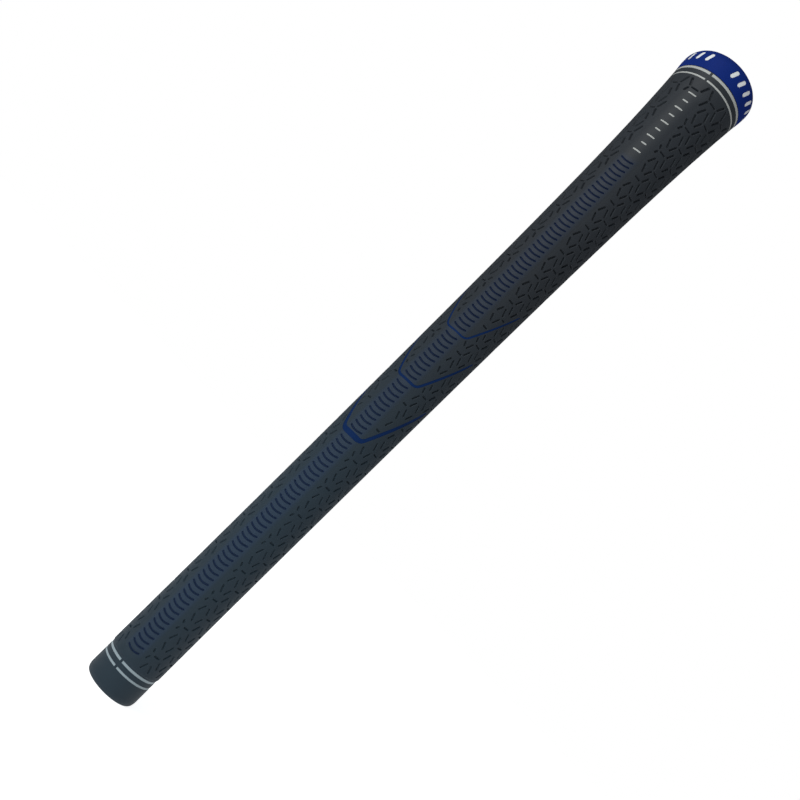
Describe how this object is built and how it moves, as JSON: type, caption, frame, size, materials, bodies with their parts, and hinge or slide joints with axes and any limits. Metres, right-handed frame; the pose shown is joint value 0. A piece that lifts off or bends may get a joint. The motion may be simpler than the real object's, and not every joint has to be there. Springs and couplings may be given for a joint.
{
  "type": "golf grip",
  "caption": "Slip-on rubber golf club grip with a blind shaft bore, a bonded end cap with a vent, a grooved firm rib and inlaid rings and chevrons.",
  "frame": {"origin": "centre of the bore at the grip's mouth", "axes": "+Z along the bore from the mouth to the butt cap, and the centreline of the rib faces -Y"},
  "size_m": [0.0276, 0.0276, 0.2696],
  "materials": {
    "sleeve_rubber": "satin moulded rubber, slate grey",
    "rib_rubber": "smooth satin rubber, slate grey",
    "cap_rubber": "smooth semi-gloss rubber, royal blue",
    "pale_fill": "satin paint fill, pale silver grey",
    "blue_fill": "satin paint fill, dark blue",
    "white_fill": "satin paint fill, white"
  },
  "bodies": {
    "root": {"sleeve": "sleeve_rubber", "reminder_rib": "rib_rubber", "end_cap": "cap_rubber", "ring_mouth_outer": "pale_fill", "ring_mouth_inner": "pale_fill", "ring_butt_inner": "pale_fill", "ring_butt_outer": "pale_fill", "alignment_ticks": "pale_fill", "chevron_wide": "blue_fill", "chevron_middle": "blue_fill", "chevron_narrow": "blue_fill", "cap_bars": "white_fill"}
  },
  "joints": []
}
